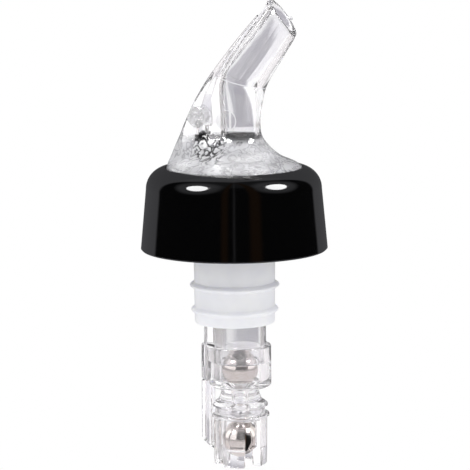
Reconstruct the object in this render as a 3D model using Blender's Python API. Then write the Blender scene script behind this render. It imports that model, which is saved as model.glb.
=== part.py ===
"""Measured liquor pour spout: clear spout, black collar, milky stopper sleeve and ball-valve body.

Row frame: +Z up, +X the way the snout pours, origin on the stopper's axis at the bottle's mouth.
Lengths below are millimetres and become metres in `solid`.
"""
import math

import bmesh
import bpy
from mathutils import Matrix, Vector

MM = 0.001
GAP = 0.3                      # clearance between pieces that touch on the real object
TURN_STEPS = 36                # sides of a turned piece

# Balls
BALL_R = 8.73 / 2              # 11/32 inch balls
BALL_PLAY = 0.2                # left between a ball and its seat at either end of its travel
TIMING_BALL_Z = -44.0
CHECK_BALL_Z = -61.0

# Valve axes, measured along X from the stopper's axis
VALVE_X = 1.16                 # timing bore, chamber, plug and cage
AIR_BORE_X = -5.5              # air passage in the stem
AIR_TUBE_X = -6.65             # air tube below the chamber

# Collar
COLLAR_RIM_Z = -15.0
COLLAR_RIM_R = 22.24
COLLAR_SHOULDER_R = 5.2        # radius of the rounded shoulder
COLLAR_SHOULDER_X = 15.7       # distance of the shoulder's centre from the axis
COLLAR_SHOULDER_Z = -0.45
COLLAR_WALL = 1.7
COLLAR_SEAT_Z = 3.9            # floor of the shallow recess that takes the spout's base
COLLAR_DISC_Z = 1.6            # underside of the collar's disc
COLLAR_HOLE_R = 7.7

# Stopper sleeve
SLEEVE_FLANGE_R = 13.0
SLEEVE_FLANGE_TOP = 1.3
SLEEVE_TOP_R = 9.88
SLEEVE_BOTTOM_R = 9.57
SLEEVE_BOTTOM_Z = -32.7
SLEEVE_BORE_R = 7.7
SLEEVE_RIBS = ((-23.6, 10.72), (-29.5, 10.42))      # height and radius of each sealing rib
SLEEVE_RIB_HALF = 0.75

# Valve stem
STEM_R = 7.38
STEM_TOP_Z = 4.7
STEM_SHOULDER_Z = -38.0
STEM_SPIGOT_R = 5.85           # spigot round the timing bore, inside the chamber
STEM_BOTTOM_Z = -42.2
TIMING_BORE_R = 4.65
TIMING_TRAVEL = 25.0
FLOW_BORE_R = 3.0
AIR_BORE_R = 1.0

# Timing chamber and its plug
CHAMBER_R = 7.5
CHAMBER_TOP_Z = -38.3
CHAMBER_BOTTOM_Z = -48.2
CHAMBER_EDGE = 0.9
BOSS_X = -6.5
BOSS_R = 1.75
BOSS_BOTTOM_Z = -46.8
NECK_R = 4.2
DOME_TOP_Z = -50.8
DOME_EDGE_Z = -52.5            # where the dome's cone reaches its full radius
DOME_BOTTOM_Z = -53.0
DOME_R = 6.6
PLUG_SPIGOT_R = 5.2
PLUG_BOTTOM_Z = -55.0
DRAIN_R = 1.4
CHECK_SEAT_R = 2.6
CHECK_SEAT_TOP_Z = -54.3
INLET_R = 1.1                  # inlet at the back that lets the liquor into the chamber
INLET_Z = -45.3
CHAMBER_AIR_X = -6.1           # narrow air passage that joins the stem's with the tube's socket
CHAMBER_AIR_R = 0.8

# Air tube
AIR_TUBE_R = 1.6
AIR_TUBE_BORE_R = 0.6
AIR_SPIGOT_R = 0.95
AIR_SPIGOT_TOP_Z = -43.8
AIR_TUBE_END_Z = -62.6
AIR_TUBE_BEVEL = -0.9          # drop of the cut end per millimetre of X

# Ball cage
CAGE_TOP_Z = -53.3
CAGE_BOTTOM_Z = -67.3
CAGE_NECK_R = 6.0
CAGE_FLANGE_R = 7.0
CAGE_FLANGE_Z = -55.1
CAGE_LEG_R = 6.45
CAGE_FOOT_R = 6.3
CAGE_BORE_R = 4.7
CAGE_LEDGE_R = 3.75
CAGE_LEDGE_Z = -63.5
CAGE_SLOT_TOP_Z = -56.0
CAGE_LEGS = 4
CAGE_GAP_DEG = 38.0
CAGE_TURN_DEG = -3.0

# Spout
SPOUT_BASE_R = 16.2
SPOUT_BASE_Z = COLLAR_SEAT_Z + GAP
FRONT_POINTS = 9               # points of half a section: round its front, along its flank
FLANK_POINTS = 3               # and round its back edge
FIN_POINTS = 6
LEAST_FLANK_DEG = 12.0         # least angle between a section's flanks and its fore-and-aft line
SPOUT_STEPS_PER_KEY = 2
SOCKET_ROOF_Z = STEM_TOP_Z + GAP
COLUMN_X = 1.5
COLUMN_BORE_R = 3.85
COLUMN_FLOOR_Z = 9.5
COLUMN_FLOOR_HOLE_R = 2.9
COLUMN_CURVE_TOP_Z = 12.6      # where the bore starts to narrow towards its floor
MITRE = Vector((COLUMN_X, 0.0, 25.0))
MOUTH = Vector((12.1, 0.0, 40.25))
SNOUT_BORE_R = 3.8
MOUTH_BORE_R = 3.6
PAD = Vector((-0.7, -4.8, 16.1))     # middle of the round flat left by an ejector pin on the column
PAD_R = 2.45
PAD_TURN_DEG = 14.0            # the flat lies along the column's flank

# Each key section of the spout: its back point and front point in the X-Z plane,
# the half width of its round column, and the radius of its back edge.
SPOUT_KEYS = (
    ((-16.2, 4.7), (16.2, 4.7), 16.2, 3.0),
    ((-15.8, 5.8), (14.7, 5.7), 14.2, 3.0),
    ((-15.1, 7.3), (11.9, 6.9), 10.8, 2.9),
    ((-14.5, 8.8), (10.0, 8.2), 8.4, 2.8),
    ((-13.7, 10.6), (8.3, 9.9), 6.7, 2.7),
    ((-12.9, 12.3), (6.9, 11.9), 5.5, 2.6),
    ((-11.9, 14.8), (6.4, 14.5), 5.1, 2.5),
    ((-10.4, 18.1), (6.6, 17.6), 5.2, 2.4),
    ((-8.5, 21.8), (7.1, 20.6), 5.5, 2.3),
    ((-5.8, 26.1), (7.8, 23.3), 5.6, 2.2),
    ((-2.8, 30.1), (9.0, 25.8), 5.5, 2.1),
    ((0.0, 33.7), (10.9, 28.8), 5.4, 2.1),
    ((3.0, 37.3), (12.7, 31.8), 5.3, 2.0),
    ((6.2, 41.0), (14.3, 34.4), 5.1, 2.0),
    ((8.0, 43.2), (15.0, 35.7), 5.0, 2.0),
    ((9.1, 44.8), (15.1, 36.1), 4.9, 2.0),
)

# Air passage in the spout: the pocket in the fin, whose sides follow the fin's, then the slot
# along the snout's back and its outlet behind the mouth. All are outlines in the X-Z plane.
AIR_POCKET = ((-4.5, 14.6), (-4.5, 21.8), (-6.2, 22.2), (-8.9, 14.6))
AIR_POCKET_HALF = 2.1          # half width at its wide end
AIR_POCKET_TAPER = 0.318       # loss of half width per millimetre of X
AIR_SLOT = (
    (-4.5, 21.0), (-2.7, 26.2), (0.1, 31.1), (3.5, 35.5), (6.9, 39.5), (9.0, 42.0),
    (7.4, 44.4), (4.9, 42.1), (6.3, 40.1), (2.9, 36.1), (-0.6, 31.7), (-3.6, 26.9),
    (-6.0, 21.9),
)
AIR_SLOT_HALF = 1.7            # half width across the snout
AIR_WELL_X = -6.9              # round well under the pocket
AIR_WELL_FLOOR_Z = 11.2
AIR_WELL_R = 1.5


def clear_scene():
    for thing in list(bpy.data.objects):
        bpy.data.objects.remove(thing, do_unlink=True)


def material(name, colour, roughness, metallic=0.0, transmission=0.0):
    mat = bpy.data.materials.new(name)
    mat.use_nodes = True
    shader = mat.node_tree.nodes["Principled BSDF"]
    shader.inputs["Base Color"].default_value = (*colour, 1.0)
    shader.inputs["Roughness"].default_value = roughness
    shader.inputs["Metallic"].default_value = metallic
    shader.inputs["Transmission Weight"].default_value = transmission
    mat.diffuse_color = (*colour, 1.0)
    return mat


def solid(name, bm, mat=None, origin=(0.0, 0.0, 0.0)):
    """Turn a bmesh drawn in millimetres into an object in metres, with its origin at `origin`."""
    bmesh.ops.remove_doubles(bm, verts=bm.verts, dist=0.0005)
    bmesh.ops.recalc_face_normals(bm, faces=bm.faces)
    if bm.calc_volume(signed=True) < 0:
        bmesh.ops.reverse_faces(bm, faces=bm.faces)
    bmesh.ops.translate(bm, verts=bm.verts, vec=-Vector(origin))
    bmesh.ops.scale(bm, verts=bm.verts, vec=(MM, MM, MM))
    mesh = bpy.data.meshes.new(name)
    bm.to_mesh(mesh)
    bm.free()
    mesh.shade_smooth()
    mesh.set_sharp_from_angle(angle=math.radians(35))
    thing = bpy.data.objects.new(name, mesh)
    thing.location = Vector(origin) * MM
    bpy.context.scene.collection.objects.link(thing)
    if mat is not None:
        mesh.materials.append(mat)
    return thing


def turned(profile, centre_x=0.0, steps=TURN_STEPS):
    """Spin a closed outline of (radius, height) points about the vertical line at centre_x."""
    bm = bmesh.new()
    verts = [bm.verts.new((centre_x + r, 0.0, z)) for r, z in profile]
    edges = [bm.edges.new((a, b)) for a, b in zip(verts, verts[1:] + verts[:1])]
    bmesh.ops.spin(bm, geom=verts + edges, cent=(centre_x, 0.0, 0.0), axis=(0.0, 0.0, 1.0),
                   angle=math.tau, steps=steps, use_merge=True)
    bmesh.ops.remove_doubles(bm, verts=bm.verts, dist=0.0005)
    bmesh.ops.dissolve_degenerate(bm, edges=bm.edges, dist=0.0005)
    return bm


def arc(centre, radius, start_deg, end_deg, count):
    """Points along an arc in the (radius, height) plane."""
    angles = [math.radians(start_deg + (end_deg - start_deg) * i / count) for i in range(count + 1)]
    return [(centre[0] + radius * math.cos(a), centre[1] + radius * math.sin(a)) for a in angles]


def as_cutter(thing):
    thing.hide_render = True
    thing.display_type = "WIRE"
    return thing


def boolean(target, tool, operation="DIFFERENCE"):
    cut = target.modifiers.new(tool.name, "BOOLEAN")
    cut.operation = operation
    cut.solver = "EXACT"
    cut.object = tool


def round_cutter(name, profile, centre_x=0.0, steps=24):
    """A turned cutter whose outline runs from the axis, out, and back to the axis."""
    low, high = profile[0][1], profile[-1][1]
    return as_cutter(solid(name, turned([(0.0, low), *profile, (0.0, high)], centre_x, steps)))


def bar_cutter(name, start, end, start_r, end_r, steps=24):
    """A straight, possibly tapered, round cutter between two points."""
    along = end - start
    bm = bmesh.new()
    place = Matrix.Translation((start + end) / 2) @ along.to_track_quat("Z", "Y").to_matrix().to_4x4()
    bmesh.ops.create_cone(bm, cap_ends=True, segments=steps, radius1=start_r, radius2=end_r,
                          depth=along.length, matrix=place)
    return as_cutter(solid(name, bm))


def bridge(bm, rings):
    """Join rings of vertices in order and close both ends."""
    for low, high in zip(rings, rings[1:]):
        for i in range(len(low)):
            j = (i + 1) % len(low)
            bm.faces.new((low[i], low[j], high[j], high[i]))
    bm.faces.new(rings[0])
    bm.faces.new(rings[-1])


def slab_cutter(name, outline, half_width):
    """An outline in the X-Z plane, as far each way along Y as half_width(x) says."""
    bm = bmesh.new()
    bridge(bm, [[bm.verts.new((x, side * half_width(x), z)) for x, z in outline] for side in (-1, 1)])
    return as_cutter(solid(name, bm))


def ball(name, height, mat):
    bm = bmesh.new()
    centre = (VALVE_X, 0.0, height)
    bmesh.ops.create_uvsphere(bm, u_segments=24, v_segments=12, radius=BALL_R,
                              matrix=Matrix.Translation(centre))
    return solid(name, bm, mat, centre)


def collar(mat):
    """Bell-shaped collar: a tapered hollow skirt, a rounded shoulder and a disc with a hole."""
    shoulder = (COLLAR_SHOULDER_X, COLLAR_SHOULDER_Z)
    edge_deg = 80.0
    outside = [(COLLAR_RIM_R - 0.3, COLLAR_RIM_Z), (COLLAR_RIM_R, COLLAR_RIM_Z + 0.3)]
    outside += arc(shoulder, COLLAR_SHOULDER_R, 0.0, edge_deg, 8)
    recess_r = SPOUT_BASE_R + GAP
    top = [(recess_r, outside[-1][1] - 0.15), (recess_r, COLLAR_SEAT_Z), (COLLAR_HOLE_R, COLLAR_SEAT_Z)]
    inner_r = COLLAR_SHOULDER_R - COLLAR_WALL
    inner_top = COLLAR_DISC_Z
    inside = [(COLLAR_HOLE_R, inner_top)]
    inside += arc((COLLAR_SHOULDER_X, inner_top - inner_r), inner_r, 90.0, 0.0, 4)
    inside += [(COLLAR_RIM_R - COLLAR_WALL, COLLAR_RIM_Z + 0.3), (COLLAR_RIM_R - COLLAR_WALL + 0.3, COLLAR_RIM_Z)]
    return solid("collar", turned(outside + top + inside, steps=48), mat)


def stopper_sleeve(mat):
    """Soft sleeve: a flange that the bottle's mouth meets, and a tapered body with two ribs."""

    def body_r(z):
        return SLEEVE_TOP_R + (SLEEVE_BOTTOM_R - SLEEVE_TOP_R) * z / SLEEVE_BOTTOM_Z

    outside = [(SLEEVE_BORE_R, SLEEVE_FLANGE_TOP), (SLEEVE_FLANGE_R, SLEEVE_FLANGE_TOP),
               (SLEEVE_FLANGE_R, 0.0), (SLEEVE_TOP_R, 0.0)]
    for rib_z, rib_r in SLEEVE_RIBS:
        for step, share in ((1.0, 0.0), (0.5, 0.8), (0.0, 1.0), (-0.5, 0.8), (-1.0, 0.0)):
            z = rib_z + step * SLEEVE_RIB_HALF
            outside.append((body_r(z) + share * (rib_r - body_r(rib_z)), z))
    outside += [(SLEEVE_BOTTOM_R, SLEEVE_BOTTOM_Z + 0.5), (SLEEVE_BOTTOM_R - 0.5, SLEEVE_BOTTOM_Z),
                (SLEEVE_BORE_R, SLEEVE_BOTTOM_Z)]
    return solid("stopper_sleeve", turned(outside), mat)


def valve_stem(mat):
    """Round stem with the long timing bore, the ball's upper seat and the air bore."""
    outside = [(0.0, STEM_TOP_Z), (STEM_R - 0.4, STEM_TOP_Z), (STEM_R, STEM_TOP_Z - 0.4),
               (STEM_R, STEM_SHOULDER_Z), (0.0, STEM_SHOULDER_Z)]
    stem = solid("valve_stem", turned(outside), mat)
    spigot = [(STEM_SPIGOT_R, STEM_BOTTOM_Z), (STEM_SPIGOT_R, STEM_SHOULDER_Z + 1)]
    boolean(stem, round_cutter("add_stem_spigot", spigot, VALVE_X, TURN_STEPS), "UNION")
    seat_z = TIMING_BALL_Z + TIMING_TRAVEL + BALL_PLAY + math.sqrt(BALL_R ** 2 - FLOW_BORE_R ** 2)
    seat_depth = TIMING_BORE_R - FLOW_BORE_R
    flow = [(TIMING_BORE_R, STEM_BOTTOM_Z - 1), (TIMING_BORE_R, seat_z - seat_depth),
            (FLOW_BORE_R, seat_z), (FLOW_BORE_R, STEM_TOP_Z + 1)]
    boolean(stem, round_cutter("cut_stem_flow", flow, VALVE_X))
    air = [(AIR_BORE_R, STEM_SHOULDER_Z - 1), (AIR_BORE_R, STEM_TOP_Z + 1)]
    boolean(stem, round_cutter("cut_stem_air", air, AIR_BORE_X, 16))
    return stem


def chamber_body():
    """Convex outline of the cup: a round wall with an air boss drawn out at its back."""
    bm = bmesh.new()
    rings = ((VALVE_X, CHAMBER_R - 0.3, CHAMBER_TOP_Z), (VALVE_X, CHAMBER_R, CHAMBER_TOP_Z - 0.3),
             (VALVE_X, CHAMBER_R, CHAMBER_BOTTOM_Z + CHAMBER_EDGE),
             (VALVE_X, CHAMBER_R - 0.3 * CHAMBER_EDGE, CHAMBER_BOTTOM_Z + 0.3 * CHAMBER_EDGE),
             (VALVE_X, CHAMBER_R - CHAMBER_EDGE, CHAMBER_BOTTOM_Z),
             (BOSS_X, BOSS_R, CHAMBER_TOP_Z), (BOSS_X, BOSS_R, BOSS_BOTTOM_Z))
    for x, r, z in rings:
        for i in range(TURN_STEPS):
            a = math.tau * i / TURN_STEPS
            bm.verts.new((x + r * math.cos(a), r * math.sin(a), z))
    hull = bmesh.ops.convex_hull(bm, input=bm.verts)
    spare = {v for v in hull["geom_interior"] + hull["geom_unused"] if isinstance(v, bmesh.types.BMVert)}
    bmesh.ops.delete(bm, geom=list(spare), context="VERTS")
    return bm


def timing_chamber(mat):
    """Cup that holds the timing ball, with its neck, plug and the check ball's upper seat."""
    cup = solid("timing_chamber", chamber_body(), mat)
    plug = [(0.0, CHAMBER_BOTTOM_Z + 1.2), (NECK_R, CHAMBER_BOTTOM_Z + 1.2), (NECK_R, DOME_TOP_Z),
            (DOME_R - 0.5, DOME_EDGE_Z + 0.2), (DOME_R, DOME_EDGE_Z - 0.2), (DOME_R, DOME_BOTTOM_Z),
            (PLUG_SPIGOT_R, DOME_BOTTOM_Z), (PLUG_SPIGOT_R, PLUG_BOTTOM_Z), (0.0, PLUG_BOTTOM_Z)]
    boolean(cup, as_cutter(solid("add_plug", turned(plug, VALVE_X))), "UNION")

    cone_low = TIMING_BALL_Z - BALL_R - BALL_PLAY + 0.1
    cone_high = cone_low + (TIMING_BORE_R - DRAIN_R) / math.tan(math.radians(60))
    flow = [(CHECK_SEAT_R, PLUG_BOTTOM_Z - 1.0), (CHECK_SEAT_R, PLUG_BOTTOM_Z), (DRAIN_R, CHECK_SEAT_TOP_Z),
            (DRAIN_R, cone_low), (TIMING_BORE_R, cone_high), (TIMING_BORE_R, CHAMBER_TOP_Z + 1)]
    boolean(cup, round_cutter("cut_chamber_flow", flow, VALVE_X))
    socket = [(STEM_SPIGOT_R + GAP, STEM_BOTTOM_Z - GAP), (STEM_SPIGOT_R + GAP, CHAMBER_TOP_Z + 1)]
    boolean(cup, round_cutter("cut_chamber_socket", socket, VALVE_X, TURN_STEPS))
    tube_socket_r = AIR_SPIGOT_R + 0.25
    tube_socket = [(tube_socket_r, BOSS_BOTTOM_Z - 2), (tube_socket_r, AIR_SPIGOT_TOP_Z + GAP)]
    boolean(cup, round_cutter("cut_chamber_tube_socket", tube_socket, AIR_TUBE_X, 16))
    air = [(CHAMBER_AIR_R, AIR_SPIGOT_TOP_Z), (CHAMBER_AIR_R, CHAMBER_TOP_Z + 1)]
    boolean(cup, round_cutter("cut_chamber_air", air, CHAMBER_AIR_X, 16))
    boolean(cup, air_tube_notch("cut_chamber_notch", BOSS_BOTTOM_Z - 0.05))
    inlet_in, inlet_out = (Vector((VALVE_X, y, INLET_Z)) for y in (TIMING_BORE_R - 1, CHAMBER_R + 1))
    boolean(cup, bar_cutter("cut_chamber_inlet", inlet_in, inlet_out, INLET_R, INLET_R, 16))
    return cup


def air_tube_notch(name, top_z):
    """Clearance round the air tube, for the pieces that it passes."""
    r = AIR_TUBE_R + GAP
    return round_cutter(name, [(r, CAGE_BOTTOM_Z - 1), (r, top_z)], AIR_TUBE_X, 24)


def air_tube(mat):
    """Air tube with a spigot in the chamber's boss and a bevelled lower end."""
    top_z = BOSS_BOTTOM_Z - GAP
    outline = [(AIR_TUBE_BORE_R, AIR_SPIGOT_TOP_Z), (AIR_SPIGOT_R, AIR_SPIGOT_TOP_Z), (AIR_SPIGOT_R, top_z),
               (AIR_TUBE_R, top_z), (AIR_TUBE_R, AIR_TUBE_END_Z), (AIR_TUBE_BORE_R, AIR_TUBE_END_Z)]
    bm = turned(outline, AIR_TUBE_X, 20)
    for vert in bm.verts:
        if abs(vert.co.z - AIR_TUBE_END_Z) < 0.01:
            vert.co.z += (vert.co.x - AIR_TUBE_X) * AIR_TUBE_BEVEL
    return solid("air_tube", bm, mat)


def ball_cage(mat):
    """Ring and flange with four legs, whose inner ledge holds the check ball."""
    ring_bore = PLUG_SPIGOT_R + GAP
    outline = [(ring_bore, CAGE_TOP_Z), (CAGE_NECK_R, CAGE_TOP_Z), (CAGE_NECK_R, CAGE_FLANGE_Z + 0.3),
               (CAGE_FLANGE_R, CAGE_FLANGE_Z + 0.1), (CAGE_FLANGE_R, CAGE_FLANGE_Z - 0.3),
               (CAGE_LEG_R, CAGE_FLANGE_Z - 0.6), (CAGE_FOOT_R, CAGE_BOTTOM_Z + 0.4),
               (CAGE_FOOT_R - 0.4, CAGE_BOTTOM_Z), (CAGE_LEDGE_R, CAGE_BOTTOM_Z),
               (CAGE_LEDGE_R, CAGE_LEDGE_Z - 0.1), (CAGE_BORE_R, CAGE_LEDGE_Z + 0.5),
               (CAGE_BORE_R, PLUG_BOTTOM_Z - GAP), (ring_bore, PLUG_BOTTOM_Z - GAP)]
    cage = solid("ball_cage", turned(outline, VALVE_X, 48), mat)
    half = math.radians(CAGE_GAP_DEG / 2)
    reach = CAGE_FLANGE_R + 2
    for i in range(CAGE_LEGS):
        middle = math.radians(CAGE_TURN_DEG) + math.tau * (i + 0.5) / CAGE_LEGS
        bm = bmesh.new()
        corners = [(0.0, 0.0)]
        corners += [(reach * math.cos(middle + s * half), reach * math.sin(middle + s * half)) for s in (-1, 1)]
        face = bm.faces.new([bm.verts.new((VALVE_X + x, y, CAGE_SLOT_TOP_Z)) for x, y in corners])
        made = bmesh.ops.extrude_face_region(bm, geom=[face])["geom"]
        low = [v for v in made if isinstance(v, bmesh.types.BMVert)]
        bmesh.ops.translate(bm, verts=low, vec=(0.0, 0.0, CAGE_BOTTOM_Z - CAGE_SLOT_TOP_Z - 1))
        boolean(cage, as_cutter(solid(f"cut_cage_gap_{i + 1}", bm)))
    boolean(cage, air_tube_notch("cut_cage_notch", CAGE_TOP_Z + 1))
    return cage


def between(a, b, c, d, t):
    """Catmull-Rom value between b and c."""
    return 0.5 * (2 * b + (c - a) * t + (2 * a - 5 * b + 4 * c - d) * t ** 2
                  + (3 * b - a - 3 * c + d) * t ** 3)


def spout_sections():
    """Key sections with smooth ones worked out between them, as flat number lists."""
    keys = [(*back, *front, column, fin) for back, front, column, fin in SPOUT_KEYS]
    padded = [keys[0], *keys, keys[-1]]
    rows = []
    for i in range(1, len(keys)):
        for step in range(SPOUT_STEPS_PER_KEY):
            t = step / SPOUT_STEPS_PER_KEY
            rows.append([between(*values, t) for values in zip(*padded[i - 1:i + 3])])
    rows.append(list(keys[-1]))
    return rows


def section_ring(bm, row):
    """One closed ring, a teardrop: the round column in front, wrapped round a narrower back edge."""
    back = Vector((row[0], 0.0, row[1]))
    front = Vector((row[2], 0.0, row[3]))
    along = (front - back).normalized()
    # The column is kept a little smaller than the whole section, so that the flanks never vanish.
    edge, share = row[5], math.cos(math.radians(LEAST_FLANK_DEG))
    widest = (share * (front - back).length + (1.0 - share) * edge) / (1.0 + share)
    column = min(row[4], widest)
    middle = front - along * column
    spacing = (middle - back).length - edge
    # The straight flank touches both circles where their normals point `lean` back from the front.
    lean = math.pi - math.acos((column - edge) / spacing)
    side = [(column * math.cos(a), column * math.sin(a))
            for a in (lean * i / FRONT_POINTS for i in range(FRONT_POINTS + 1))]
    start, end = side[-1], (edge * math.cos(lean) - spacing, edge * math.sin(lean))
    side += [tuple(start[k] + (end[k] - start[k]) * i / FLANK_POINTS for k in range(2))
             for i in range(1, FLANK_POINTS)]
    side += [(edge * math.cos(a) - spacing, edge * math.sin(a))
             for a in (lean + (math.pi - lean) * i / FIN_POINTS for i in range(FIN_POINTS))]
    side.append((-edge - spacing, 0.0))
    ring = [bm.verts.new(middle + along * u + Vector((0.0, w, 0.0))) for u, w in side]
    ring += [bm.verts.new(middle + along * u - Vector((0.0, w, 0.0))) for u, w in side[-2:0:-1]]
    return ring


def spout_bore(spout):
    """The liquor's way through the spout: socket for the stem, upright bore and snout bore."""
    socket = [(STEM_R + GAP, SPOUT_BASE_Z - 1), (STEM_R + GAP, SOCKET_ROOF_Z)]
    boolean(spout, round_cutter("cut_spout_socket", socket, 0.0, TURN_STEPS))
    narrowing, drop = COLUMN_BORE_R - COLUMN_FLOOR_HOLE_R, COLUMN_CURVE_TOP_Z - COLUMN_FLOOR_Z
    curve = [(COLUMN_FLOOR_HOLE_R + narrowing * math.sin(a), COLUMN_CURVE_TOP_Z - drop * math.cos(a))
             for a in (math.pi / 8 * i for i in range(5))]
    column = [(COLUMN_FLOOR_HOLE_R, SOCKET_ROOF_Z - 1), *curve,
              (COLUMN_BORE_R, MITRE.z - 1.2), (COLUMN_BORE_R * 0.8, MITRE.z + 1.4)]
    boolean(spout, round_cutter("cut_spout_column", column, COLUMN_X))
    along = (MOUTH - MITRE).normalized()
    boolean(spout, bar_cutter("cut_spout_snout", MITRE - along * 0.6, MOUTH + along * 4,
                              SNOUT_BORE_R, MOUTH_BORE_R))


def spout_air_way(spout):
    """The air's way through the spout: hole from the stem, well, pocket in the fin, and slot."""
    hole_low = Vector((AIR_BORE_X, 0.0, SOCKET_ROOF_Z - 1))
    hole_high = Vector((AIR_BORE_X, 0.0, AIR_WELL_FLOOR_Z + 1))
    boolean(spout, bar_cutter("cut_spout_air_hole", hole_low, hole_high, AIR_BORE_R, AIR_BORE_R, 16))
    well = [(AIR_WELL_R, AIR_WELL_FLOOR_Z), (AIR_WELL_R, AIR_POCKET[0][1] + 0.5)]
    boolean(spout, round_cutter("cut_spout_air_well", well, AIR_WELL_X, 16))

    def pocket_half(x):
        return AIR_POCKET_HALF + AIR_POCKET_TAPER * (x - AIR_POCKET[0][0])

    boolean(spout, slab_cutter("cut_spout_air_pocket", AIR_POCKET, pocket_half))
    boolean(spout, slab_cutter("cut_spout_air_slot", AIR_SLOT, lambda x: AIR_SLOT_HALF))


def pour_spout(mat):
    """Lofted spout: flared round base, column with a back fin, and the slanted snout."""
    bm = bmesh.new()
    rows = spout_sections()
    bottom = list(rows[0])
    bottom[1] = bottom[3] = SPOUT_BASE_Z
    bridge(bm, [section_ring(bm, row) for row in [bottom, *rows]])
    spout = solid("pour_spout", bm, mat)

    pad_turn = math.radians(PAD_TURN_DEG)
    pad_out = Vector((-math.sin(pad_turn), -math.cos(pad_turn), 0.0))
    boolean(spout, bar_cutter("add_spout_pad", PAD - pad_out * 2, PAD, PAD_R, PAD_R), "UNION")
    boolean(spout, bar_cutter("cut_spout_pad", PAD, PAD + pad_out * 3, PAD_R, PAD_R))
    spout_bore(spout)
    spout_air_way(spout)
    return spout


def build():
    clear_scene()
    clear = (0.93, 0.94, 0.96)
    pour_spout(material("clear_spout", clear, 0.03, transmission=1.0))
    collar(material("black_collar", (0.012, 0.012, 0.014), 0.12))
    stopper_sleeve(material("milky_sleeve", (0.82, 0.83, 0.85), 0.35))
    valve_stem(material("clear_stem", clear, 0.05, transmission=1.0))
    timing_chamber(material("clear_chamber", clear, 0.05, transmission=1.0))
    air_tube(material("clear_air_tube", clear, 0.05, transmission=1.0))
    ball_cage(material("clear_cage", clear, 0.05, transmission=1.0))
    ball("timing_ball", TIMING_BALL_Z, material("timing_ball_steel", (0.6, 0.57, 0.54), 0.08, metallic=1.0))
    ball("check_ball", CHECK_BALL_Z, material("check_ball_steel", (0.6, 0.57, 0.54), 0.08, metallic=1.0))


build()
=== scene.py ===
"""Looks of the measured liquor pour spout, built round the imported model.

Row frame: +Z up, +X the way the snout pours, origin on the stopper's axis at the bottle's mouth.
Shapes are drawn in millimetres and become metres in `piece`.
"""
import math

import bmesh
import bpy
from mathutils import Matrix, Vector


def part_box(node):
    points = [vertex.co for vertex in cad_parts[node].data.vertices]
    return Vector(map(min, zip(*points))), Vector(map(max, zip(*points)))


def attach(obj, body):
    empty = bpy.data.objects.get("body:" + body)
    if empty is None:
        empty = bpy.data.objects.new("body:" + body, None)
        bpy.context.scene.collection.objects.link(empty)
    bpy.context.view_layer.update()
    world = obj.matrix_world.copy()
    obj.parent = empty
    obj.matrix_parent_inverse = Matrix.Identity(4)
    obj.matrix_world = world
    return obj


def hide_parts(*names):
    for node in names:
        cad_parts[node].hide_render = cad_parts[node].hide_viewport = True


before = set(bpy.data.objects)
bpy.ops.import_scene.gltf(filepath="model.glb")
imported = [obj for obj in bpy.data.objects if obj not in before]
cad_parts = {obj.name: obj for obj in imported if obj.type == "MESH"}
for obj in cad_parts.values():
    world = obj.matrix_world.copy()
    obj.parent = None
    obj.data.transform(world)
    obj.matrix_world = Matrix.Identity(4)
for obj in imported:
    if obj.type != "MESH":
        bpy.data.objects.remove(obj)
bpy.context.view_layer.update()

MM = 0.001
GAP = 0.3                      # clearance between pieces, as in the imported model
MERGE = 0.0004                 # vertices nearer than this become one
SHARP_DEG = 28.0               # edges that turn more than this are shaded sharp


def node_box(node):
    """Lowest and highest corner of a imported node, in millimetres."""
    low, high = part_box(node)
    return low / MM, high / MM


# Balls
BALL_LOW, BALL_HIGH = node_box("timing_ball")
BALL_R = (BALL_HIGH.z - BALL_LOW.z) / 2
TIMING_BALL_Z = (BALL_HIGH.z + BALL_LOW.z) / 2
CHECK_LOW, CHECK_HIGH = node_box("check_ball")
CHECK_BALL_Z = (CHECK_HIGH.z + CHECK_LOW.z) / 2

# Valve axes, measured along X from the stopper's axis
VALVE_X = 1.16                 # timing bore, chamber, plug and cage
AIR_BORE_X = -5.5              # air passage in the stem
AIR_TUBE_X = -6.65             # air tube below the chamber

# Collar
COLLAR_LOW, COLLAR_HIGH = node_box("collar")
COLLAR_RIM_Z = COLLAR_LOW.z
COLLAR_RIM_R = COLLAR_HIGH.x
COLLAR_SHOULDER_R = 5.2
COLLAR_SHOULDER = (15.7, -0.45)
COLLAR_SHOULDER_DEG = 80.0
COLLAR_WALL = 1.7
COLLAR_SEAT_Z = 3.9
COLLAR_DISC_Z = 1.6
COLLAR_HOLE_R = 7.7
COLLAR_EDGE = 0.35
COLLAR_RECESS_EDGE = 0.1       # drop from the shoulder to the recess for the spout

# Stopper sleeve
SLEEVE_LOW, SLEEVE_HIGH = node_box("stopper_sleeve")
SLEEVE_FLANGE_R = SLEEVE_HIGH.x
SLEEVE_FLANGE_TOP = SLEEVE_HIGH.z
SLEEVE_BOTTOM_Z = SLEEVE_LOW.z
SLEEVE_TOP_R = 9.88
SLEEVE_BOTTOM_R = 9.57
SLEEVE_BORE_R = 7.7
SLEEVE_RIBS = ((-23.6, 10.72), (-29.5, 10.42))
SLEEVE_RIB_HALF = 0.85
SLEEVE_RIB_POWER = 1.3         # how sharply a rib's section falls away from its crest
SLEEVE_RIB_STEPS = 6           # points on each flank of a rib
SLEEVE_EDGE = 0.45
SLEEVE_FINE_EDGE = 0.2
SLEEVE_FILLET = 0.4            # under the flange

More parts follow.
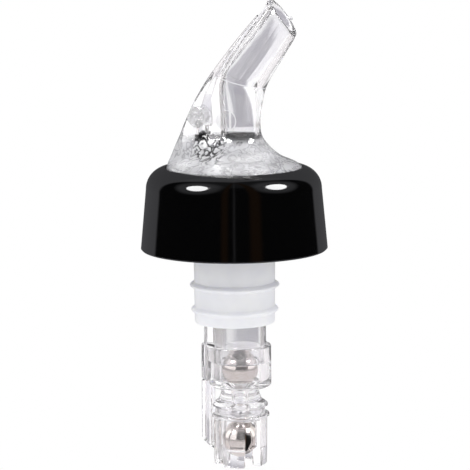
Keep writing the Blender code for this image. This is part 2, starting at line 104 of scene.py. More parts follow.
# Valve stem
STEM_LOW, STEM_HIGH = node_box("valve_stem")
STEM_TOP_Z = STEM_HIGH.z
STEM_BOTTOM_Z = STEM_LOW.z
STEM_R = STEM_HIGH.x
STEM_END_Z = -38.15            # shoulder that rests on the chamber's top
STEM_TOP_EDGE = 0.4
STEM_END_EDGE = 0.1
STEM_SPIGOT_R = 5.85           # spigot round the timing bore, inside the chamber
SPIGOT_FIT = 0.1
SPIGOT_EDGE = 0.2
TIMING_BORE_R = 4.65
TIMING_TRAVEL = 25.0
BALL_PLAY = 0.2
FLOW_BORE_R = 3.0
AIR_BORE_R = 1.0

# Timing chamber and its plug
CHAMBER_LOW, CHAMBER_HIGH = node_box("timing_chamber")
CHAMBER_TOP_Z = CHAMBER_HIGH.z
PLUG_BOTTOM_Z = CHAMBER_LOW.z
CHAMBER_R = 7.5
CHAMBER_BOTTOM_Z = -48.2
CHAMBER_EDGE = 0.9
CUP_EDGE = 0.35                # rounding of the cup's rim and of the boss's end
CUP_SEAT_GAP = 0.05            # between the cup's rim and the stem's shoulder
CUP_INSET = 0.02               # of the cup's wall inside its base
BASE_OVERLAP = 0.7             # how far the base reaches up into the cup
PLUG_OVERLAP = 1.2             # how far the plug reaches up into the base
NECK_FILLET = 0.5
DOME_EDGES = (0.3, 0.8, 0.0)   # rounding of the dome's outline at its top, edge and bottom
BOSS_X = -6.5
BOSS_R = 1.75
BOSS_BOTTOM_Z = -46.8
NECK_R = 4.2
DOME_TOP_Z = -50.8
DOME_EDGE_Z = -52.5
DOME_BOTTOM_Z = -53.0
DOME_R = 6.6
PLUG_SPIGOT_R = 5.2
DRAIN_R = 1.4
DRAIN_CONE_DEG = 60.0          # between the drain's cone and the valve's axis
CONE_EASE = 0.1                # how far the cone's low end is raised towards the ball
CHECK_SEAT_R = 2.6
CHECK_SEAT_TOP_Z = -54.3
INLET_R = 1.1                  # inlet at the chamber's back
INLET_Z = -45.3
CHAMBER_AIR_X = -6.1
CHAMBER_AIR_R = 0.8

# Air tube
AIR_TUBE_R = 1.6
AIR_TUBE_BORE_R = 0.6
AIR_SPIGOT_R = 0.95
AIR_SPIGOT_TOP_Z = -43.8
AIR_TUBE_END_Z = -62.6
AIR_TUBE_BEVEL = -0.9          # drop of the cut end per millimetre of X
AIR_TUBE_EDGES = (0.1, 0.1, 0.0, 0.2, 0.15, 0.1)
AIR_TUBE_CUT = 0.3             # height of the end that leans with the bevel
TUBE_FIT = 0.15
NOTCH_EDGE = 0.05              # how far below the boss the tube's clearance starts

# Ball cage
CAGE_LOW, CAGE_HIGH = node_box("ball_cage")
CAGE_TOP_Z = CAGE_HIGH.z
CAGE_BOTTOM_Z = CAGE_LOW.z
CAGE_NECK_R = 6.0
CAGE_FLANGE_R = 7.0
CAGE_FLANGE_Z = -55.1
CAGE_FLANGE_STEPS = (0.3, 0.1, -0.3, -0.6)    # from the neck's foot down to the top of the legs
CAGE_LEG_R = 6.45
CAGE_FOOT_R = 6.3
CAGE_BORE_R = 4.7
CAGE_LEDGE_R = 3.75
CAGE_LEDGE_Z = -63.5
CAGE_LEDGE_STEPS = (-0.1, 0.5)                # the ledge's sloping top, inside and outside
CAGE_EDGES = (0.1, 0.2, 0.2, 0.15, 0.15, 0.2, 0.5, 0.3, 0.2, 0.4, 0.1, 0.05)
CAGE_SLOT_TOP_Z = -56.0
CAGE_LEGS = 4
CAGE_GAP_DEG = 38.0
CAGE_TURN_DEG = -3.0

# Spout
SPOUT_LOW, SPOUT_HIGH = node_box("pour_spout")
SPOUT_BASE_Z = SPOUT_LOW.z
SOCKET_ROOF_Z = STEM_TOP_Z + GAP
COLUMN_X = 1.5
COLUMN_BORE_R = 3.85
COLUMN_FLOOR_Z = 9.5
COLUMN_FLOOR_HOLE_R = 2.9
COLUMN_CURVE_TOP_Z = 12.6      # where the bore starts to narrow towards its floor
COLUMN_TAPER = (-1.2, 1.4, 0.8)      # where the bore's top narrows about the mitre, and to what share
MITRE = Vector((COLUMN_X, 0.0, 25.0))
MOUTH = Vector((12.1, 0.0, 40.25))
SNOUT_BORE_R = 3.8
MOUTH_BORE_R = 3.6
MOUTH_EDGE = 0.45              # rounding of the mouth's outer edge
LIP_DEPTH = 0.7                # how deep the mouth's inner lip starts to open, and by how much
LIP_GROWTH = 0.45
AIR_SLOT_HALF = 1.7
PAD = Vector((-0.7, -4.8, 16.1))     # middle of the round flat left by an ejector pin on the column
PAD_R = 2.45
PAD_TURN_DEG = 14.0            # the flat lies along the column's flank
FRONT_POINTS = 26
FLANK_POINTS = 10
FIN_POINTS = 12
STEPS_PER_KEY = 8
MITRE_LINE = (0.2306, 0.973, 0.02467)    # plane of the mitre's weld line: X and Z shares, distance
SCUFF = (-0.0083, 0.0165, 0.0013)        # X, Z and radius of the scuffed patch, in metres
RING_PITCH = 0.0009
GATE_NUB = Vector((12.9, 4.85, 39.5))    # remnant of the moulding gate on the mouth's far rim
GATE_NUB_R = 0.5
LEAST_FLANK_DEG = 12.0         # least angle between a section's flanks and its fore-and-aft line

# Each key section of the spout: its back point and front point in the X-Z plane,
# the half width of its round column, and the radius of its back edge.
SPOUT_KEYS = (
    ((-16.2, 4.7), (16.2, 4.7), 16.2, 3.0),
    ((-15.8, 5.8), (14.7, 5.7), 14.2, 3.0),
    ((-15.1, 7.3), (11.9, 6.9), 10.8, 2.9),
    ((-14.5, 8.8), (10.0, 8.2), 8.4, 2.8),
    ((-13.7, 10.6), (8.3, 9.9), 6.7, 2.7),
    ((-12.9, 12.3), (6.9, 11.9), 5.5, 2.6),
    ((-11.9, 14.8), (6.4, 14.5), 5.1, 2.5),
    ((-10.4, 18.1), (6.6, 17.6), 5.2, 2.4),
    ((-8.5, 21.8), (7.1, 20.6), 5.5, 2.3),
    ((-5.8, 26.1), (7.8, 23.3), 5.6, 2.2),
    ((-2.8, 30.1), (9.0, 25.8), 5.5, 2.1),
    ((0.0, 33.7), (10.9, 28.8), 5.4, 2.1),
    ((3.0, 37.3), (12.7, 31.8), 5.3, 2.0),
    ((6.2, 41.0), (14.3, 34.4), 5.1, 2.0),
    ((8.0, 43.2), (15.0, 35.7), 5.0, 2.0),
    ((9.1, 44.8), (15.1, 36.1), 4.9, 2.0),
)

# Air passage in the spout: the pocket in the fin, whose sides follow the fin's, then the slot
# along the snout's back and its outlet. All are outlines in the X-Z plane.
AIR_POCKET = ((-4.5, 14.6), (-4.5, 21.8), (-6.2, 22.2), (-8.9, 14.6))
AIR_POCKET_HALF = 2.1          # half width at its wide end
AIR_POCKET_TAPER = 0.318       # loss of half width per millimetre of X
AIR_SLOT = (
    (-4.5, 21.0), (-2.7, 26.2), (0.1, 31.1), (3.5, 35.5), (6.9, 39.5), (9.0, 42.0),
    (7.4, 44.4), (4.9, 42.1), (6.3, 40.1), (2.9, 36.1), (-0.6, 31.7), (-3.6, 26.9),
    (-6.0, 21.9),
)
AIR_WELL = (-6.9, 11.2, 1.5)   # X, floor height and radius of the well under the pocket

# Studio, in metres and degrees
CAMERA_AZIMUTH = 13.0
CAMERA_ELEVATION = 9.0
CAMERA_ROLL = 0.44
CAMERA_DISTANCE = 0.6
VIEW_WIDTH = 0.1119
VIEW_SIDEWAYS = 0.00018        # from the axis to the middle of the picture, along the picture
VIEW_HEIGHT = -0.01175
SENSOR_WIDTH = 36.0
FLOOR_Z = -0.2
FLOOR_R = 0.6
SOFTBOX_AZIMUTHS = (-60.0, 71.0)
SOFTBOX_ELEVATION = 42.0
SOFTBOX_DISTANCE = 1.1
SOFTBOX_SIZE = 0.5
SOFTBOX_POWER = 15.0


# ---------------------------------------------------------------- shapes

def piece(name, bm, origin=(0.0, 0.0, 0.0)):
    """Turn a bmesh drawn in millimetres into a smooth-shaded object in metres."""
    bmesh.ops.remove_doubles(bm, verts=bm.verts, dist=MERGE)
    bmesh.ops.recalc_face_normals(bm, faces=bm.faces)
    if bm.calc_volume(signed=True) < 0:
        bmesh.ops.reverse_faces(bm, faces=bm.faces)
    bmesh.ops.translate(bm, verts=bm.verts, vec=-Vector(origin))
    bmesh.ops.scale(bm, verts=bm.verts, vec=(MM, MM, MM))
    mesh = bpy.data.meshes.new(name)
    bm.to_mesh(mesh)
    bm.free()
    mesh.shade_smooth()
    mesh.set_sharp_from_angle(angle=math.radians(SHARP_DEG))
    thing = bpy.data.objects.new(name, mesh)
    thing.location = Vector(origin) * MM
    bpy.context.scene.collection.objects.link(thing)
    return thing


def turned(profile, centre_x=0.0, steps=128):
    """Spin a closed outline of (radius, height) points about the vertical line at centre_x."""
    bm = bmesh.new()
    verts = [bm.verts.new((centre_x + r, 0.0, z)) for r, z in profile]
    edges = [bm.edges.new((a, b)) for a, b in zip(verts, verts[1:] + verts[:1])]
    bmesh.ops.spin(bm, geom=verts + edges, cent=(centre_x, 0.0, 0.0), axis=(0.0, 0.0, 1.0),
                   angle=math.tau, steps=steps, use_merge=True)
    bmesh.ops.remove_doubles(bm, verts=bm.verts, dist=MERGE)
    bmesh.ops.dissolve_degenerate(bm, edges=bm.edges, dist=MERGE)
    return bm


def arc(centre, radius, start_deg, end_deg, count):
    """Points along an arc in the (radius, height) plane."""
    angles = [math.radians(start_deg + (end_deg - start_deg) * i / count) for i in range(count + 1)]
    return [(centre[0] + radius * math.cos(a), centre[1] + radius * math.sin(a)) for a in angles]


def rounded(outline, radius, count=4):
    """The closed outline with each corner that has a radius rounded; radius is a number or a list."""
    radii = radius if isinstance(radius, (list, tuple)) else [radius] * len(outline)
    straight = math.radians(175)
    most = 0.45                # largest share of a side that one corner may take up
    points = []
    for i, corner in enumerate(outline):
        here = Vector(corner)
        before, after = Vector(outline[i - 1]), Vector(outline[(i + 1) % len(outline)])
        back, ahead = (before - here), (after - here)
        turn = back.angle(ahead) if back.length and ahead.length else math.pi
        if radii[i] <= 0 or turn > straight:
            points.append(tuple(here))
            continue
        cut = min(radii[i] / math.tan(turn / 2), most * back.length, most * ahead.length)
        start, end = here + back.normalized() * cut, here + ahead.normalized() * cut
        for step in range(count + 1):
            t = step / count
            points.append(tuple((1 - t) ** 2 * start + 2 * t * (1 - t) * here + t ** 2 * end))
    return points


def apply_booleans(target, tools):
    """Cut or join each (operation, tool) in turn, keep the result as the target's mesh."""
    for operation, tool in tools:
        change = target.modifiers.new(tool.name, "BOOLEAN")
        change.operation = operation
        change.solver = "EXACT"
        change.object = tool
        tool.hide_render = True
    bpy.context.view_layer.update()
    shape = target.evaluated_get(bpy.context.evaluated_depsgraph_get())
    mesh = bpy.data.meshes.new_from_object(shape)
    target.modifiers.clear()
    old = target.data
    target.data = mesh
    mesh.name = target.name
    bpy.data.meshes.remove(old)
    for _, tool in tools:
        bpy.data.objects.remove(tool, do_unlink=True)
    mesh.shade_smooth()
    mesh.set_sharp_from_angle(angle=math.radians(SHARP_DEG))
    return target


def round_tool(name, profile, centre_x=0.0, steps=96):
    """A turned cutter whose outline runs from the axis, out, and back to the axis."""
    low, high = profile[0][1], profile[-1][1]
    return piece(name, turned([(0.0, low), *profile, (0.0, high)], centre_x, steps))


def bar_tool(name, start, end, start_r, end_r, steps=96):
    """A straight, possibly tapered, round cutter between two points."""
    along = end - start
    bm = bmesh.new()
    place = Matrix.Translation((start + end) / 2) @ along.to_track_quat("Z", "Y").to_matrix().to_4x4()
    bmesh.ops.create_cone(bm, cap_ends=True, segments=steps, radius1=start_r, radius2=end_r,
                          depth=along.length, matrix=place)
    return piece(name, bm)


def ball(name, centre, radius, segments, origin=(0.0, 0.0, 0.0)):
    bm = bmesh.new()
    bmesh.ops.create_uvsphere(bm, u_segments=segments, v_segments=segments // 2, radius=radius,
                              matrix=Matrix.Translation(centre))
    return piece(name, bm, origin)


def slab_tool(name, outline, half_width):
    """An outline in the X-Z plane, as far each way along Y as half_width(x) says."""
    bm = bmesh.new()
    bridge(bm, [[bm.verts.new((x, side * half_width(x), z)) for x, z in outline] for side in (-1, 1)])
    return piece(name, bm)


def bridge(bm, rings):
    """Join rings of vertices in order, and close both ends."""
    for low, high in zip(rings, rings[1:]):
        for i in range(len(low)):
            j = (i + 1) % len(low)
            bm.faces.new((low[i], low[j], high[j], high[i]))
    bm.faces.new(rings[0])
    bm.faces.new(rings[-1])


def valve_ball(name, height):
    centre = (VALVE_X, 0.0, height)
    return ball(name, centre, BALL_R, 96, centre)


def collar():
    """Bell-shaped collar: a tapered hollow skirt, a rounded shoulder and a disc with a hole."""
    outside = [(COLLAR_RIM_R - COLLAR_EDGE, COLLAR_RIM_Z), (COLLAR_RIM_R, COLLAR_RIM_Z + COLLAR_EDGE)]
    outside += arc(COLLAR_SHOULDER, COLLAR_SHOULDER_R, 0.0, COLLAR_SHOULDER_DEG, 28)
    recess_r = SPOUT_HIGH.y + GAP
    top = [(recess_r, outside[-1][1] - COLLAR_RECESS_EDGE), (recess_r, COLLAR_SEAT_Z),
           (COLLAR_HOLE_R, COLLAR_SEAT_Z)]
    inner_r = COLLAR_SHOULDER_R - COLLAR_WALL
    inside = [(COLLAR_HOLE_R, COLLAR_DISC_Z)]
    inside += arc((COLLAR_SHOULDER[0], COLLAR_DISC_Z - inner_r), inner_r, 90.0, 0.0, 12)
    inside += [(COLLAR_RIM_R - COLLAR_WALL, COLLAR_RIM_Z + COLLAR_EDGE),
               (COLLAR_RIM_R - COLLAR_WALL + COLLAR_EDGE, COLLAR_RIM_Z)]
    return piece("collar_shell", turned(outside + top + inside, steps=192))


def stopper_sleeve():
    """Soft sleeve: a flange that the bottle's mouth meets, and a tapered body with two ribs."""

    def body_r(z):
        return SLEEVE_TOP_R + (SLEEVE_BOTTOM_R - SLEEVE_TOP_R) * z / SLEEVE_BOTTOM_Z

    fine = SLEEVE_FINE_EDGE
    outside = [(SLEEVE_BORE_R, SLEEVE_FLANGE_TOP), (SLEEVE_FLANGE_R - fine, SLEEVE_FLANGE_TOP),
               (SLEEVE_FLANGE_R, SLEEVE_FLANGE_TOP - fine), (SLEEVE_FLANGE_R, fine),
               (SLEEVE_FLANGE_R - fine, 0.0), (SLEEVE_TOP_R + SLEEVE_FILLET, 0.0),
               (SLEEVE_TOP_R, -SLEEVE_FILLET)]
    for rib_z, rib_r in SLEEVE_RIBS:
        for i in range(2 * SLEEVE_RIB_STEPS + 1):
            step = 1.0 - i / SLEEVE_RIB_STEPS
            share = math.cos(step * math.pi / 2) ** SLEEVE_RIB_POWER if abs(step) < 1 else 0.0
            z = rib_z + step * SLEEVE_RIB_HALF
            outside.append((body_r(z) + share * (rib_r - body_r(rib_z)), z))
    centre = (SLEEVE_BOTTOM_R - SLEEVE_EDGE, SLEEVE_BOTTOM_Z + SLEEVE_EDGE)
    outside += arc(centre, SLEEVE_EDGE, 0.0, -90.0, 6)
    outside += [(SLEEVE_BORE_R + fine, SLEEVE_BOTTOM_Z), (SLEEVE_BORE_R, SLEEVE_BOTTOM_Z + fine)]
    return piece("sleeve_moulding", turned(outside))


def valve_stem():
    """Round stem with the long timing bore, the ball's upper seat and the air bore."""
    outline = [(0.0, STEM_TOP_Z), (STEM_R, STEM_TOP_Z), (STEM_R, STEM_END_Z), (0.0, STEM_END_Z)]
    stem = piece("stem_tube", turned(rounded(outline, [0, STEM_TOP_EDGE, STEM_END_EDGE, 0])))
    spigot = [(STEM_SPIGOT_R - SPIGOT_EDGE, STEM_BOTTOM_Z), (STEM_SPIGOT_R, STEM_BOTTOM_Z + SPIGOT_EDGE),
              (STEM_SPIGOT_R, STEM_END_Z + 1)]
    seat_z = TIMING_BALL_Z + TIMING_TRAVEL + BALL_PLAY + math.sqrt(BALL_R ** 2 - FLOW_BORE_R ** 2)
    seat_low_z = seat_z - (TIMING_BORE_R - FLOW_BORE_R)
    flow = [(TIMING_BORE_R, STEM_BOTTOM_Z - 1), (TIMING_BORE_R, seat_low_z),
            (FLOW_BORE_R, seat_z), (FLOW_BORE_R, STEM_TOP_Z + 1)]
    air = [(AIR_BORE_R, STEM_END_Z - 1), (AIR_BORE_R, STEM_TOP_Z + 1)]
    return apply_booleans(stem, [("UNION", round_tool("add_spigot", spigot, VALVE_X, 128)),
                                 ("DIFFERENCE", round_tool("cut_flow", flow, VALVE_X)),
                                 ("DIFFERENCE", round_tool("cut_air", air, AIR_BORE_X, 32))])


def hull_ring(bm, circles, inset, z, count=160):
    """Ring round the outline that wraps circles of (centre x, radius), moved in by `inset`."""
    ring = []
    for i in range(count):
        a = math.tau * i / count
        x, r = max(circles, key=lambda circle: circle[0] * math.cos(a) + circle[1])
        ring.append(bm.verts.new((x + (r - inset) * math.cos(a), (r - inset) * math.sin(a), z)))
    return ring


def timing_chamber():
    """Cup that holds the timing ball, with its air boss, neck, plug and check ball seat."""
    bm = bmesh.new()
    circles = ((VALVE_X, CHAMBER_R - CUP_INSET), (BOSS_X, BOSS_R))
    insets = [(CUP_EDGE * (1 - math.cos(a)), CUP_EDGE * (1 - math.sin(a)))
              for a in (math.pi / 8 * i for i in range(5))]
    top_z = STEM_END_Z - CUP_SEAT_GAP
    rings = [hull_ring(bm, circles, inset, top_z - drop) for inset, drop in reversed(insets)]
    rings += [hull_ring(bm, circles, inset, BOSS_BOTTOM_Z + drop) for inset, drop in insets]
    bridge(bm, rings)
    cup = piece("chamber_cup", bm)

    base_centre = (CHAMBER_R - CHAMBER_EDGE, CHAMBER_BOTTOM_Z + CHAMBER_EDGE)
    base_top_z = BOSS_BOTTOM_Z + BASE_OVERLAP
    base = [(0.0, base_top_z), (CHAMBER_R, base_top_z),
            *arc(base_centre, CHAMBER_EDGE, 0.0, -90.0, 8), (0.0, CHAMBER_BOTTOM_Z)]
    dome = rounded([(NECK_R, DOME_TOP_Z), (DOME_R, DOME_EDGE_Z), (DOME_R, DOME_BOTTOM_Z)], DOME_EDGES)
    neck_top_r, plug_top_z = NECK_R + NECK_FILLET, CHAMBER_BOTTOM_Z + PLUG_OVERLAP
    neck_curve = arc((neck_top_r, CHAMBER_BOTTOM_Z - NECK_FILLET), NECK_FILLET, 90.0, 180.0, 5)
    plug = [(0.0, plug_top_z), (neck_top_r, plug_top_z), *neck_curve, *dome,
            (PLUG_SPIGOT_R, DOME_BOTTOM_Z), (PLUG_SPIGOT_R, PLUG_BOTTOM_Z + SPIGOT_EDGE),
            (PLUG_SPIGOT_R - SPIGOT_EDGE, PLUG_BOTTOM_Z), (0.0, PLUG_BOTTOM_Z)]

    cone_low = TIMING_BALL_Z - BALL_R - BALL_PLAY + CONE_EASE
    cone_high = cone_low + (TIMING_BORE_R - DRAIN_R) / math.tan(math.radians(DRAIN_CONE_DEG))
    flow = [(CHECK_SEAT_R, PLUG_BOTTOM_Z - 1.0), (CHECK_SEAT_R, PLUG_BOTTOM_Z),
            (DRAIN_R, CHECK_SEAT_TOP_Z), (DRAIN_R, cone_low),
            (TIMING_BORE_R, cone_high), (TIMING_BORE_R, CHAMBER_TOP_Z + 1)]
    socket_r = STEM_SPIGOT_R + SPIGOT_FIT
    socket = [(socket_r, STEM_BOTTOM_Z - SPIGOT_FIT), (socket_r, CHAMBER_TOP_Z + 1)]
    tube_socket_r = AIR_SPIGOT_R + TUBE_FIT
    tube_socket = [(tube_socket_r, BOSS_BOTTOM_Z - 2), (tube_socket_r, AIR_SPIGOT_TOP_Z + TUBE_FIT)]
    air = [(CHAMBER_AIR_R, AIR_SPIGOT_TOP_Z), (CHAMBER_AIR_R, CHAMBER_TOP_Z + 1)]
    inlet_in, inlet_out = (Vector((VALVE_X, y, INLET_Z)) for y in (TIMING_BORE_R - 1, CHAMBER_R + 1))
    return apply_booleans(cup, [
        ("UNION", piece("add_base", turned(base, VALVE_X, 160))),
        ("UNION", piece("add_plug", turned(plug, VALVE_X))),
        ("DIFFERENCE", round_tool("cut_flow", flow, VALVE_X)),
        ("DIFFERENCE", round_tool("cut_socket", socket, VALVE_X, 128)),
        ("DIFFERENCE", round_tool("cut_tube_socket", tube_socket, AIR_TUBE_X, 48)),
        ("DIFFERENCE", round_tool("cut_air", air, CHAMBER_AIR_X, 32)),
        ("DIFFERENCE", tube_notch("cut_notch", BOSS_BOTTOM_Z - NOTCH_EDGE)),
        ("DIFFERENCE", bar_tool("cut_inlet", inlet_in, inlet_out, INLET_R, INLET_R, 48)),
    ])


def tube_notch(name, top_z):
    """Clearance round the air tube, for the pieces that it passes."""
    r = AIR_TUBE_R + GAP
    return round_tool(name, [(r, CAGE_BOTTOM_Z - 1), (r, top_z)], AIR_TUBE_X, 64)


def air_tube():
    """Air tube with a spigot in the chamber's boss and a bevelled lower end."""
    top_z = BOSS_BOTTOM_Z - GAP
    outline = [(AIR_TUBE_BORE_R, AIR_SPIGOT_TOP_Z), (AIR_SPIGOT_R, AIR_SPIGOT_TOP_Z),
               (AIR_SPIGOT_R, top_z), (AIR_TUBE_R, top_z),
               (AIR_TUBE_R, AIR_TUBE_END_Z), (AIR_TUBE_BORE_R, AIR_TUBE_END_Z)]
    bm = turned(rounded(outline, AIR_TUBE_EDGES), AIR_TUBE_X, 64)
    for vert in bm.verts:
        if vert.co.z < AIR_TUBE_END_Z + AIR_TUBE_CUT:
            vert.co.z += (vert.co.x - AIR_TUBE_X) * AIR_TUBE_BEVEL
    return piece("air_tube_moulding", bm)


def ball_cage():
    """Ring and flange with four legs, whose inner ledge holds the check ball."""
    ring_bore = PLUG_SPIGOT_R + GAP
    neck_z, flange_top, flange_low, leg_top = (CAGE_FLANGE_Z + step for step in CAGE_FLANGE_STEPS)
    ledge_in, ledge_out = (CAGE_LEDGE_Z + step for step in CAGE_LEDGE_STEPS)
    outline = [(ring_bore, CAGE_TOP_Z), (CAGE_NECK_R, CAGE_TOP_Z), (CAGE_NECK_R, neck_z),
               (CAGE_FLANGE_R, flange_top), (CAGE_FLANGE_R, flange_low), (CAGE_LEG_R, leg_top),
               (CAGE_FOOT_R, CAGE_BOTTOM_Z), (CAGE_LEDGE_R, CAGE_BOTTOM_Z), (CAGE_LEDGE_R, ledge_in),
               (CAGE_BORE_R, ledge_out), (CAGE_BORE_R, PLUG_BOTTOM_Z - GAP),
               (ring_bore, PLUG_BOTTOM_Z - GAP)]
    cage = piece("cage_moulding", turned(rounded(outline, CAGE_EDGES), VALVE_X, 160))
    half = math.radians(CAGE_GAP_DEG / 2)
    reach = CAGE_FLANGE_R + 2
    tools = []
    for i in range(CAGE_LEGS):
        middle = math.radians(CAGE_TURN_DEG) + math.tau * (i + 0.5) / CAGE_LEGS
        bm = bmesh.new()
        corners = [(0.0, 0.0)]
        corners += [(reach * math.cos(a), reach * math.sin(a)) for a in (middle - half, middle + half)]
        face = bm.faces.new([bm.verts.new((VALVE_X + x, y, CAGE_SLOT_TOP_Z)) for x, y in corners])
        made = bmesh.ops.extrude_face_region(bm, geom=[face])["geom"]
        low = [v for v in made if isinstance(v, bmesh.types.BMVert)]
        bmesh.ops.translate(bm, verts=low, vec=(0.0, 0.0, CAGE_BOTTOM_Z - CAGE_SLOT_TOP_Z - 1))
        tools.append(("DIFFERENCE", piece(f"cut_gap_{i + 1}", bm)))
    tools.append(("DIFFERENCE", tube_notch("cut_notch", CAGE_TOP_Z + 1)))
    return apply_booleans(cage, tools)


def between(a, b, c, d, t):
    """Catmull-Rom value between b and c."""
    return 0.5 * (2 * b + (c - a) * t + (2 * a - 5 * b + 4 * c - d) * t ** 2
                  + (3 * b - a - 3 * c + d) * t ** 3)


def spout_sections():
    """Key sections with smooth ones worked out between them, as flat number lists."""
    keys = [(*back, *front, column, fin) for back, front, column, fin in SPOUT_KEYS]
    padded = [keys[0], *keys, keys[-1]]
    rows = []
    for i in range(1, len(keys)):
        for step in range(STEPS_PER_KEY):
            t = step / STEPS_PER_KEY
            rows.append([between(*values, t) for values in zip(*padded[i - 1:i + 3])])
    return rows


def section_ring(bm, row, inset=0.0, lift=Vector()):
    """One closed ring, a teardrop: the round column in front, wrapped round a narrower back edge."""
    back = Vector((row[0], 0.0, row[1]))
    front = Vector((row[2], 0.0, row[3]))
    along = (front - back).normalized()
    # The column is kept a little smaller than the whole section, so that the flanks never vanish.
    edge, share = row[5], math.cos(math.radians(LEAST_FLANK_DEG))
    widest = (share * (front - back).length + (1.0 - share) * edge) / (1.0 + share)
    column = min(row[4], widest) - inset
    back += along * inset + lift
    front += lift - along * inset
    edge -= inset
    middle = front - along * column
    spacing = (middle - back).length - edge
    # The straight flank touches both circles where their normals point `lean` back from the front.
    lean = math.pi - math.acos((column - edge) / spacing)
    side = [(column * math.cos(a), column * math.sin(a))
            for a in (lean * i / FRONT_POINTS for i in range(FRONT_POINTS + 1))]
    start, end = side[-1], (edge * math.cos(lean) - spacing, edge * math.sin(lean))
    side += [tuple(start[k] + (end[k] - start[k]) * i / FLANK_POINTS for k in range(2))
             for i in range(1, FLANK_POINTS)]
    side += [(edge * math.cos(a) - spacing, edge * math.sin(a))
             for a in (lean + (math.pi - lean) * i / FIN_POINTS for i in range(FIN_POINTS))]
    side.append((-edge - spacing, 0.0))
    ring = [bm.verts.new(middle + along * u + Vector((0.0, w, 0.0))) for u, w in side]
    ring += [bm.verts.new(middle + along * u - Vector((0.0, w, 0.0))) for u, w in side[-2:0:-1]]
    return ring


def mouth_plane():
    """Centre of the mouth's cut, the way down across it, and the way out of it."""
    back = Vector((SPOUT_KEYS[-1][0][0], 0.0, SPOUT_KEYS[-1][0][1]))
    front = Vector((SPOUT_KEYS[-1][1][0], 0.0, SPOUT_KEYS[-1][1][1]))
    down = (front - back).normalized()
    out = Vector((-down.z, 0.0, down.x))
    centre = back + down * (MOUTH - back).dot(down)
    return centre, down, out


def lip_tool(name):
    """Cutter that rounds the inner edge of the mouth, which is an ellipse in the mouth's plane."""
    centre, down, out = mouth_plane()
    along = (MOUTH - MITRE).normalized()
    stretch = 1.0 / along.dot(out)
    profile = [(-LIP_DEPTH * 1.6, -0.05)]
    profile += [(LIP_DEPTH * (math.sin(a) - 1), LIP_GROWTH * (1 - math.cos(a)))
                for a in (math.pi / 16 * i for i in range(9))]
    profile.append((1.0, LIP_GROWTH * 1.5))
    bm = bmesh.new()
    rings = []
    for depth, grow in profile:
        middle = centre + along * depth
        r = MOUTH_BORE_R + grow
        ellipse = [(r * stretch * math.cos(t), r * math.sin(t))
                   for t in (math.tau * i / 96 for i in range(96))]
        rings.append([bm.verts.new(middle + down * u + Vector((0.0, w, 0.0))) for u, w in ellipse])
    bridge(bm, rings)
    return piece(name, bm)


def pour_spout():
    """Lofted spout: flared round base, column with a back fin, and the slanted snout."""
    bm = bmesh.new()
    rows = spout_sections()
    bottom = list(rows[0])
    bottom[1] = bottom[3] = SPOUT_BASE_Z
    rings = [section_ring(bm, row) for row in [bottom, *rows]]
    keys = SPOUT_KEYS[-1]
    last = [*keys[0], *keys[1], keys[2], keys[3]]
    out = mouth_plane()[2]
    for a in (math.pi / 12 * i for i in range(7)):
        lift = out * MOUTH_EDGE * (math.sin(a) - 1)
        rings.append(section_ring(bm, last, MOUTH_EDGE * (1 - math.cos(a)), lift))
    bridge(bm, rings)
    spout = piece("spout_moulding", bm)

    socket = [(STEM_R + GAP, SPOUT_BASE_Z - 1), (STEM_R + GAP, SOCKET_ROOF_Z)]
    narrowing, drop = COLUMN_BORE_R - COLUMN_FLOOR_HOLE_R, COLUMN_CURVE_TOP_Z - COLUMN_FLOOR_Z
    curve = [(COLUMN_FLOOR_HOLE_R + narrowing * math.sin(a), COLUMN_CURVE_TOP_Z - drop * math.cos(a))
             for a in (math.pi / 24 * i for i in range(13))]
    taper_low, taper_high, share = COLUMN_TAPER
    column = [(COLUMN_FLOOR_HOLE_R, SOCKET_ROOF_Z - 1), *curve,
              (COLUMN_BORE_R, MITRE.z + taper_low), (COLUMN_BORE_R * share, MITRE.z + taper_high)]
    well_x, well_z, well_r = AIR_WELL
    well = [(well_r, well_z), (well_r, AIR_POCKET[0][1] + 0.5)]
    hole_low, hole_high = (Vector((AIR_BORE_X, 0, z)) for z in (SOCKET_ROOF_Z - 1, well_z + 1))
    along = (MOUTH - MITRE).normalized()
    snout_start, snout_end = MITRE - along * 0.6, MOUTH + along * 4
    pad_turn = math.radians(PAD_TURN_DEG)
    pad_out = Vector((-math.sin(pad_turn), -math.cos(pad_turn), 0.0))
    return apply_booleans(spout, [
        ("UNION", ball("add_nub", GATE_NUB, GATE_NUB_R, 24)),
        ("UNION", bar_tool("add_pad", PAD - pad_out * 2, PAD, PAD_R, PAD_R)),
        ("DIFFERENCE", bar_tool("cut_pad", PAD, PAD + pad_out * 3, PAD_R, PAD_R)),
        ("DIFFERENCE", round_tool("cut_socket", socket, 0.0, 128)),
        ("DIFFERENCE", round_tool("cut_column", column, COLUMN_X)),
        ("DIFFERENCE", bar_tool("cut_snout", snout_start, snout_end, SNOUT_BORE_R, MOUTH_BORE_R)),
        ("DIFFERENCE", lip_tool("cut_lip")),
        ("DIFFERENCE", bar_tool("cut_air_hole", hole_low, hole_high, AIR_BORE_R, AIR_BORE_R, 32)),
        ("DIFFERENCE", round_tool("cut_air_well", well, well_x, 48)),
        ("DIFFERENCE", slab_tool("cut_air_pocket", AIR_POCKET,
                                 lambda x: AIR_POCKET_HALF + AIR_POCKET_TAPER * (x - AIR_POCKET[0][0]))),
        ("DIFFERENCE", slab_tool("cut_air_slot", AIR_SLOT, lambda x: AIR_SLOT_HALF)),
    ])


# ---------------------------------------------------------------- materials

